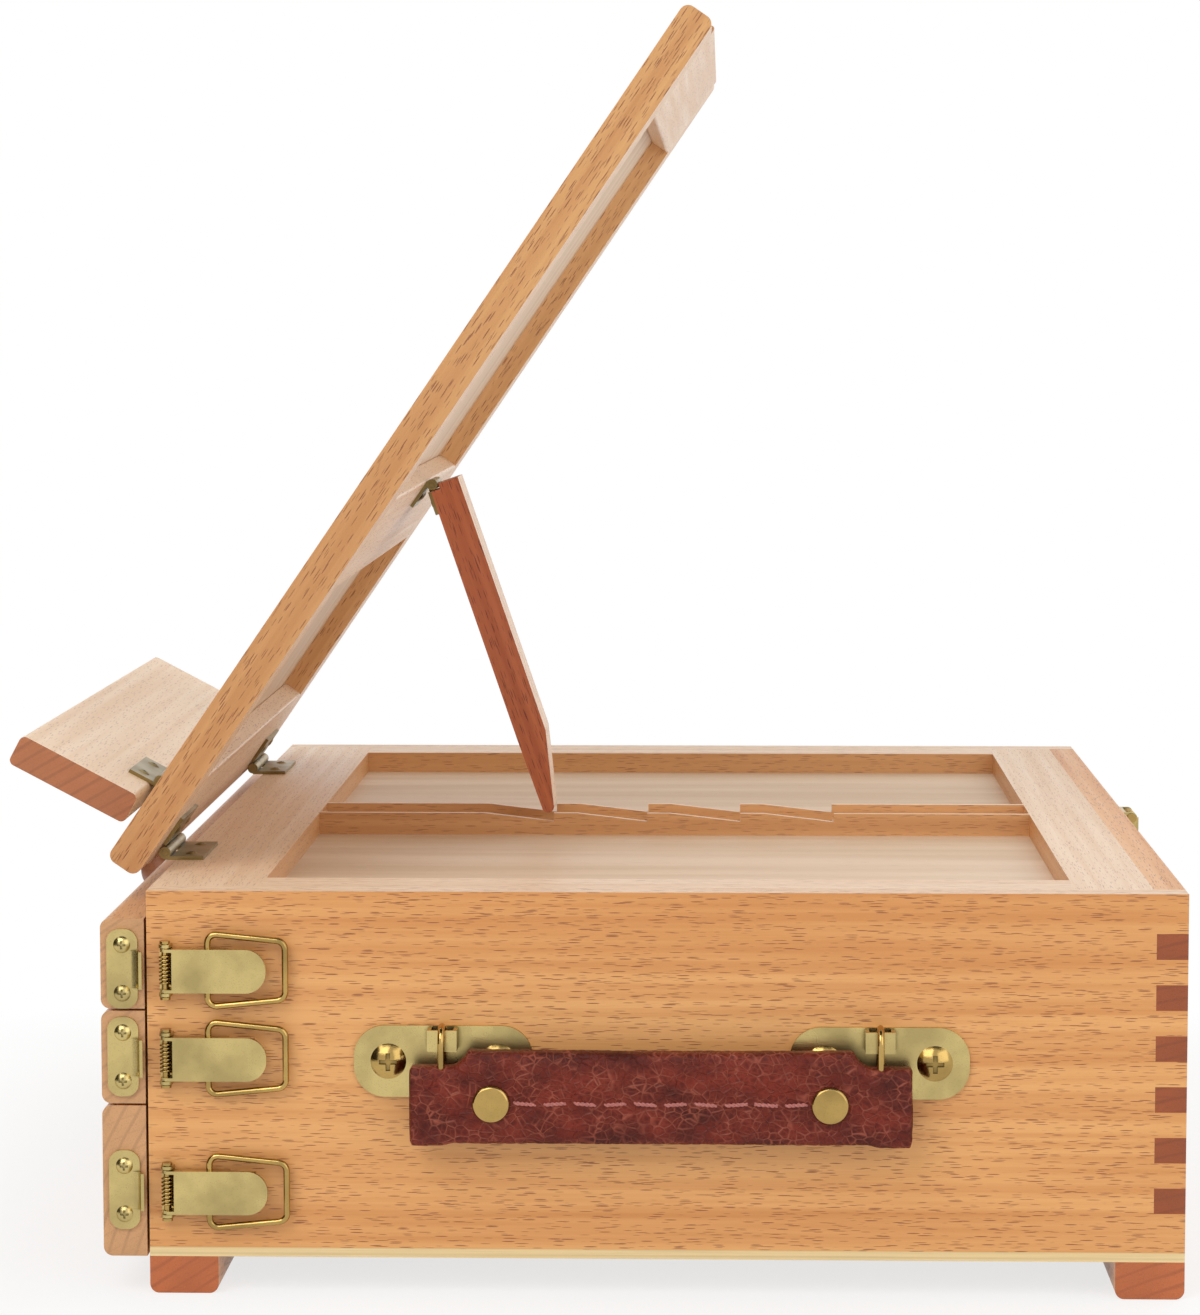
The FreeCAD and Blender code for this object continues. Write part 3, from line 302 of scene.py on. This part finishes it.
def leather(name, tone, deep, vein):
    """Pebbled leather: a net of paler creases over darker clouds, with fine pores."""
    made = Shader(name)
    warp = made.noise(made.place(), (130, 130, 130), 1)
    counter = made.math("SUBTRACT", 1.0, warp)
    push = made.node("ShaderNodeCombineXYZ", {0: warp, 1: warp, 2: counter}).outputs[0]
    shift = made.node("ShaderNodeVectorMath", {0: push}, operation="SCALE")
    shift.inputs["Scale"].default_value = 0.003
    bent = made.moved(made.place(), shift.outputs[0])
    large = made.cells(bent, (310, 310, 380), "DISTANCE_TO_EDGE")
    small = made.cells(bent, (480, 480, 620), "DISTANCE_TO_EDGE")
    pores = made.noise(made.place(), (2200, 2200, 2200), 2)
    cloud = made.noise(made.place(), (55, 55, 90), 3)
    lines = made.math("MAXIMUM", made.ramp(large, 0.0, 0.11, 0.85, 0.0), made.ramp(small, 0.0, 0.1, 0.2, 0.0))
    patchy = made.math("MULTIPLY", lines, made.ramp(made.noise(made.place(), (120, 120, 120), 2), 0.35, 0.62))
    body = made.mix(made.ramp(cloud, 0.36, 0.66), tone, deep)
    hollow = made.ramp(small, 0.12, 0.4, 0.0, 0.55)
    body = made.mix(hollow, body, shade(deep, 0.75))
    body = made.mix(made.math("MULTIPLY", made.ramp(pores, 0.5, 0.75), 0.3), body, shade(deep, 0.6))
    made.set(Base_Color=made.mix(patchy, body, vein), Roughness=made.ramp(cloud, 0.3, 0.7, 0.3, 0.46))
    made.surface.inputs["Specular IOR Level"].default_value = 0.2
    made.bump(made.math("ADD", lines, made.math("MULTIPLY", pores, 0.4)), 0.0003)
    return made.material


def thread(name, tone):
    """Waxed thread with paler fibres."""
    made = Shader(name)
    fibre = made.noise(made.place(), (900, 5200, 5200), 2)
    made.set(Base_Color=made.mix(made.ramp(fibre, 0.35, 0.65), tone, shade(tone, 0.6)), Roughness=0.6)
    made.bump(fibre, 0.00008)
    return made.material


NO_TURN = (0.0, 0.0, 0.0)
ALONG_Y = (0.0, 0.0, math.radians(-90))
ALONG_FRAME = (0.0, math.radians(FRAME_SLOPE), 0.0)
ALONG_STRUT = (0.0, math.radians(STRUT_SLOPE), 0.0)
UP = (0.0, 0.0, 1.0)
OFF_FRAME = (-math.sin(math.radians(FRAME_SLOPE)), 0.0, math.cos(math.radians(FRAME_SLOPE)))
OFF_STRUT = (-math.sin(math.radians(STRUT_SLOPE)), 0.0, math.cos(math.radians(STRUT_SLOPE)))

SIDE = (srgb(226, 166, 101), srgb(205, 138, 75))
STILE = (srgb(214, 162, 104), srgb(190, 132, 78))
# The far stile's tones are the stile's made lighter: painted light on its shaded inner face.
FAR_STILE_PAINTED_LIGHT = (srgb(238, 190, 134), srgb(216, 162, 106))
RAIL = (srgb(222, 168, 113), srgb(201, 145, 92))
# PALE: paler tones used as painted light on the tops of the walls and rails, on the faces off the frame and
# the strut, and on the frame rails all over; also the drawer walls' tone.
PALE = (srgb(239, 210, 179), srgb(226, 191, 156))
LEDGE = (srgb(245, 218, 186), srgb(234, 201, 166))
REDDISH = (srgb(194, 107, 60), srgb(166, 82, 43))
KNOB = (srgb(160, 98, 58), srgb(128, 74, 40))
END_TONE = srgb(153, 74, 30)
STILE_END = srgb(206, 154, 106)
FRONT_END = srgb(208, 156, 108)
FOOT_END = srgb(191, 104, 56)
LEDGE_END = srgb(178, 109, 67)
KNOB_END = srgb(150, 88, 50)
PLY = (srgb(225, 199, 170), srgb(211, 183, 152), srgb(231, 205, 152))
PLATE_BRASS = srgb(206, 184, 122)
BRIGHT_BRASS = srgb(188, 156, 92)
DULL_BRASS = srgb(150, 130, 84)
LEATHER = (srgb(120, 40, 25), srgb(72, 20, 12), srgb(160, 84, 64))
THREAD = srgb(196, 120, 112)


def paint(material, *names):
    """Gives nodes one material."""
    for name in names:
        mesh = nodes[name].data
        mesh.materials.clear()
        mesh.materials.append(material)


def paint_all():
    """A material for each carried-over node, with the grain along its length."""
    drawer_walls = [row + "_drawer_walls" for row in DRAWERS]
    drawer_bottoms = [row + "_drawer_bottom" for row in DRAWERS]
    knobs = [row + "_drawer_knob" for row in DRAWERS]
    catches = [row + "_drawer_catch" for row in DRAWERS]
    levers = [row + "_latch_lever" for row in LATCHES]
    bails = [row + "_latch_bail" for row in LATCHES]
    # The tops of the side walls and rails are painted in the pale tones, as painted light.
    for index, name in enumerate(("side_wall_near", "side_wall_far")):
        paint(beech(name, NO_TURN, SIDE, END_TONE, 1.0, 0.4 * index, (PALE, UP)), name)
    paint(beech("back_wall", ALONG_Y, SIDE, END_TONE, 1.0, 0.7), "back_wall")
    paint(beech("rails_across", ALONG_Y, RAIL, END_TONE, 0.6, 0.2, (PALE, UP)),
          "top_front_rail", "top_back_rail")
    paint(beech("rails_along", NO_TURN, RAIL, END_TONE, 0.7, 0.9, (PALE, UP)),
          "top_side_rails", "notch_bar", "drawer_runners")
    paint(beech("feet", ALONG_Y, SIDE, FOOT_END, 1.0, 1.3), "feet")
    for index, row in enumerate(DRAWERS):
        paint(beech(row + "_front", ALONG_Y, SIDE, FRONT_END, 1.0, 0.61 * index), row + "_drawer_front")
    paint(beech("drawer_walls", NO_TURN, PALE, FRONT_END, 0.6, 2.1), *drawer_walls)
    # The far stile is painted lighter all over, as painted light, and the faces of both stiles that point off
    # the frame get the pale tones, as painted light.
    for index, (name, tones) in enumerate((("panel_near_stile", STILE), ("panel_far_stile", FAR_STILE_PAINTED_LIGHT))):
        paint(beech(name, ALONG_FRAME, tones, STILE_END, 1.0, 0.8 * index, (PALE, OFF_FRAME)), name)
    # The frame rails are painted in the pale tones all over, as painted light for their washed-out lit look.
    paint(beech("frame_rails", ALONG_Y, PALE, STILE_END, 0.8, 1.7),
          "panel_top_rail", "panel_cross_rail", "panel_bottom_rail")
    paint(beech("ledge", ALONG_Y, LEDGE, LEDGE_END, 0.6, 2.6), "ledge_board")
    # The face of the strut that points off it is painted in the pale tones, as painted light.
    paint(beech("strut", ALONG_STRUT, REDDISH, END_TONE, 1.0, 0.3, (PALE, OFF_STRUT)), "prop_strut")
    paint(plywood("box_ply", NO_TURN, *PLY, UP), "bottom_panel", "top_panel", *drawer_bottoms)
    paint(plywood("board_ply", ALONG_FRAME, *PLY, OFF_FRAME), "panel_board")
    paint(beech("knob", NO_TURN, KNOB, KNOB_END, 0.6, 0.5), *knobs)
    plate = brass("brass_plate", PLATE_BRASS, 0.22, 0.34)
    bright = brass("brass_bright", BRIGHT_BRASS, 0.12, 0.22)
    dull = brass("brass_dull", DULL_BRASS, 0.28, 0.4)
    paint(plate, "latch_base_plates", "handle_saddles", "panel_catch", *catches, *levers)
    paint(bright, "latch_pins", "latch_springs", "handle_saddle_screws", "handle_rings", "handle_rivets",
          *bails)
    paint(dull, "box_hinge_leaves", "panel_hinge_leaves", "ledge_hinge_panel_leaves", "ledge_hinge_leaves",
          "strut_hinge_rail_leaf", "strut_hinge_leaf", "hinge_pins", "panel_screws", "box_screws")


def ease(width, segments, *names):
    """Rounds the sharp edges of nodes by a small width, so that they catch the light."""
    for name in names:
        bevel = nodes[name].modifiers.new("eased", "BEVEL")
        bevel.width = width
        bevel.segments = segments
        bevel.limit_method = "ANGLE"
        bevel.angle_limit = math.radians(40)


def ease_edges():
    """Eases the wood, the latch levers and the sheet metal."""
    ease(WOOD_EASE, 2, "side_wall_near", "side_wall_far", "top_front_rail", "top_back_rail", "top_side_rails",
         "panel_top_rail", "panel_cross_rail", "panel_bottom_rail", "prop_strut", "bottom_panel")
    ease(LEVER_EASE, 4, *[row + "_latch_lever" for row in LATCHES])
    ease(SHEET_EASE, 2, "handle_saddles", "latch_base_plates", *[row + "_drawer_catch" for row in DRAWERS])


def smooth(value, low, high):
    """A soft step from 0 at low to 1 at high."""
    share = max(0.0, min(1.0, (value - low) / (high - low)))
    return share * share * (3 - 2 * share)


def power(value, exponent):
    """A signed power, for a rounded rectangle's outline."""
    return math.copysign(abs(value) ** exponent, value)


def new_piece(name, mesh, material, body):
    """A piece of the scene's own, riding on a body."""
    piece = bpy.data.objects.new(name, mesh)
    scene.collection.objects.link(piece)
    mesh.materials.append(material)
    for face in mesh.polygons:
        face.use_smooth = True
    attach(piece, body)
    return piece


def tube(shape, points, radius, sides=8):
    """A closed round tube through points."""
    loops = []
    for index, point in enumerate(points):
        ahead = points[min(index + 1, len(points) - 1)]
        behind = points[max(index - 1, 0)]
        turn = (ahead - behind).to_track_quat("Z", "Y")
        loop = []
        for side in range(sides):
            angle = 2 * math.pi * side / sides
            spoke = Vector((radius * math.cos(angle), radius * math.sin(angle), 0))
            loop.append(shape.verts.new(point + turn @ spoke))
        loops.append(loop)
    skin(shape, loops)


def skin(shape, loops):
    """Faces between closed loops of equal length, with both ends capped."""
    count = len(loops[0])
    for first, second in zip(loops, loops[1:]):
        for index in range(count):
            after = (index + 1) % count
            shape.faces.new((first[index], first[after], second[after], second[index]))
    shape.faces.new(reversed(loops[0]))
    shape.faces.new(loops[-1])


def crease(point):
    """Depth of the leather's creases at a point, 0 in a crease to 1 on a grain."""
    near, second = noise.voronoi(point * CREASES_TO_METRE)[0][:2]
    return min(1.0, CREASE_STEEPNESS * (second - near))


def leather_grip():
    """A folded leather strap with lower tabs at its ends and a sewn seam between the rivets."""
    low, high = [Vector(corner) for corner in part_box("handle_grip")]
    rivets_low, rivets_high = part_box("handle_rivets")
    seam_z = (rivets_low[2] + rivets_high[2]) / 2
    rivet_width = rivets_high[2] - rivets_low[2]
    seam_start = rivets_low[0] + rivet_width
    seam_end = rivets_high[0] - rivet_width
    half_deep = (high.y - low.y) / 2
    middle_y = (high.y + low.y) / 2
    shape = bmesh.new()
    loops = []
    for index in range(GRIP_STEPS + 1):
        part = index / GRIP_STEPS
        x = low.x + (high.x - low.x) * part
        inset = min(x - low.x, high.x - x)
        climb = max(0.0, min(1.0, (inset - TAB_FLAT) / (TAB_RUN - TAB_FLAT)))
        top = high.z - TAB_STEP * (1 - climb * climb) - GRIP_SAG * (1 - (2 * part - 1) ** 2) * climb
        bottom = low.z + GRIP_LIP * smooth(inset, GRIP_LIP_START, GRIP_LIP_END)
        half_high = (top - bottom) / 2
        middle_z = (top + bottom) / 2
        back = BACK_SHARE_AT_END + (1 - BACK_SHARE_AT_END) * smooth(inset, 0.0, BACK_RUN)
        reach = max(0.0, 1 - inset / GRIP_END_ROUND)
        shrink = GRIP_END_ROUND * (1 - math.sqrt(max(0.0, 1 - reach * reach)))
        loop = []
        for step in range(GRIP_SIDES):
            angle = 2 * math.pi * step / GRIP_SIDES
            side = power(math.cos(angle), 2 / GRIP_SQUARENESS)
            rise = power(math.sin(angle), 2 / GRIP_SQUARENESS)
            deep = half_deep - shrink
            y = middle_y + (deep * back if side > 0 else deep) * side
            z = middle_z + (half_high - shrink) * rise
            loop.append(shape.verts.new((x, y, z)))
        loops.append(loop)
    skin(shape, loops)
    shape.normal_update()
    for vertex in shape.verts:
        point = vertex.co.copy()
        sunk = CREASE_DEPTH * (1 - crease(point))
        sunk += DENT_DEPTH * (noise.noise(point * DENTS_TO_METRE) + 0.5)
        if point.y < middle_y and seam_start < point.x < seam_end:
            sunk += SEAM_DEPTH * math.exp(-((point.z - seam_z) / SEAM_HALF) ** 2)
        vertex.co = point - vertex.normal * sunk
    mesh = bpy.data.meshes.new("grip_leather")
    shape.to_mesh(mesh)
    shape.free()
    piece = new_piece("grip_leather", mesh, leather("grip_leather", *LEATHER), "handle")
    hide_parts("handle_grip")
    stitches(seam_start, seam_end, low.y, seam_z)


def stitches(start, end, face_y, z):
    """Twisted two-ply stitches along the grip's seam, each dipping into the leather at its ends."""
    shape = bmesh.new()
    pitch = (end - start) / STITCH_COUNT
    for number in range(STITCH_COUNT):
        first = start + pitch * (number + (1 - STITCH_SHARE) / 2)
        length = pitch * STITCH_SHARE
        slant = STITCH_SLANT * (1 if number % 2 else -1)
        for ply in (0, 1):
            points = []
            for index in range(STITCH_STEPS + 1):
                share = index / STITCH_STEPS
                angle = 2 * math.pi * (THREAD_TWIST * share + ply / 2)
                from_middle = 2 * share - 1
                bend = from_middle ** STITCH_BEND
                out = STITCH_RISE * (1 - bend) - STITCH_DIP * bend
                apart = PLY_APART * THREAD_RADIUS
                points.append(Vector((first + length * share,
                                      face_y + SEAM_DEPTH - out + apart * math.cos(angle),
                                      z + slant * from_middle + apart * math.sin(angle))))
            tube(shape, points, THREAD_RADIUS)
    mesh = bpy.data.meshes.new("grip_stitches")
    shape.to_mesh(mesh)
    shape.free()
    new_piece("grip_stitches", mesh, thread("grip_thread", THREAD), "handle")


def studio():
    """Pale floor that fades into white surroundings, dark cards and soft lamps."""
    pale_floor()
    surroundings()
    dark_cards()
    for name, place, size, strength in LAMPS:
        data = bpy.data.lights.new(name, "AREA")
        data.size = size
        data.energy = strength
        lamp = bpy.data.objects.new(name, data)
        lamp.location = place
        lamp.rotation_euler = (Vector(LAMP_TARGET) - Vector(place)).to_track_quat("-Z", "Y").to_euler()
        scene.collection.objects.link(lamp)


def pale_floor():
    """A floor that keeps the object's shadow and fades to white away from its footprint."""
    bpy.ops.mesh.primitive_plane_add(size=FLOOR_SIZE, location=(0, 0, 0))
    floor = bpy.context.object
    floor.name = "floor"
    ground = Shader("floor")
    ground.set(Base_Color=(0.93, 0.93, 0.93, 1), Roughness=0.9)
    rays = ground.node("ShaderNodeLightPath")
    outside = []
    for axis, reach in zip(((1, 0, 0), (0, 1, 0)), FOOTPRINT_HALF):
        beyond = ground.math("SUBTRACT", ground.math("ABSOLUTE", ground.along(ground.place(), axis)), reach)
        outside.append(ground.math("MAXIMUM", beyond, 0.0))
    flat = ground.node("ShaderNodeCombineXYZ", {0: outside[0], 1: outside[1]}).outputs[0]
    away = ground.node("ShaderNodeVectorMath", {0: flat}, operation="LENGTH").outputs["Value"]
    whiteness = ground.ramp(away, 0.0, FADE_RUN, FADE_START, 1.0)
    faded = ground.math("MULTIPLY", whiteness, seen_rays(ground.tree, rays))
    white = ground.node("ShaderNodeEmission", {"Color": (1, 1, 1, 1), "Strength": 1.0})
    both = ground.node("ShaderNodeMixShader", {0: faded, 1: ground.surface.outputs[0], 2: white.outputs[0]})
    ground.tree.links.new(both.outputs[0], ground.output.inputs["Surface"])
    floor.data.materials.append(ground.material)


def surroundings():
    """A soft ambient light, with plain white where the background itself is seen."""
    world = bpy.data.worlds.new("surroundings")
    scene.world = world
    world.use_nodes = True
    tree = world.node_tree
    tree.nodes.clear()
    ambient = tree.nodes.new("ShaderNodeBackground")
    ambient.inputs["Color"].default_value = (1, 0.99, 0.97, 1)
    ambient.inputs["Strength"].default_value = AMBIENT
    shown = tree.nodes.new("ShaderNodeBackground")
    shown.inputs["Color"].default_value = (1, 1, 1, 1)
    shown.inputs["Strength"].default_value = 1.0
    mix = tree.nodes.new("ShaderNodeMixShader")
    tree.links.new(seen_rays(tree, tree.nodes.new("ShaderNodeLightPath")), mix.inputs[0])
    tree.links.new(ambient.outputs[0], mix.inputs[1])
    tree.links.new(shown.outputs[0], mix.inputs[2])
    out = tree.nodes.new("ShaderNodeOutputWorld")
    tree.links.new(mix.outputs[0], out.inputs["Surface"])


def dark_cards():
    """Dark cards that only reflections show, so that rounded metal has dark edges as under studio lamps."""
    for name, place, turn, size in CARDS:
        bpy.ops.mesh.primitive_plane_add(size=1, location=place, rotation=turn)
        card = bpy.context.object
        card.name = name
        card.scale = size
        card.visible_camera = False
        card.visible_diffuse = False
        card.visible_transmission = False
        card.visible_volume_scatter = False
        card.visible_shadow = False
        dark = Shader(name)
        dark.set(Base_Color=(0.03, 0.024, 0.018, 1), Roughness=1.0)
        card.data.materials.append(dark.material)


def seen_rays(tree, rays):
    """1 for rays that show the background: camera, glossy and transmission rays."""
    value = rays.outputs["Is Camera Ray"]
    for name in ("Is Glossy Ray", "Is Transmission Ray"):
        either = tree.nodes.new("ShaderNodeMath")
        either.operation = "MAXIMUM"
        tree.links.new(value, either.inputs[0])
        tree.links.new(rays.outputs[name], either.inputs[1])
        value = either.outputs[0]
    return value


def camera():
    """The photo's view, fitted without lens shift."""
    data = bpy.data.cameras.new("camera")
    data.sensor_width = SENSOR
    data.lens = FOCAL_PIXELS * SENSOR / PHOTO_HEIGHT
    view = bpy.data.objects.new("camera", data)
    turn = Euler((math.radians(90 + CAMERA_PITCH), 0, math.radians(CAMERA_YAW)), "XYZ").to_matrix()
    turn = turn @ Matrix.Rotation(math.radians(CAMERA_ROLL), 3, "Z")
    view.matrix_world = Matrix.Translation(CAMERA_PLACE) @ turn.to_4x4()
    scene.collection.objects.link(view)
    scene.camera = view
    scene.view_settings.view_transform = "Standard"


paint_all()
ease_edges()
leather_grip()
studio()
camera()
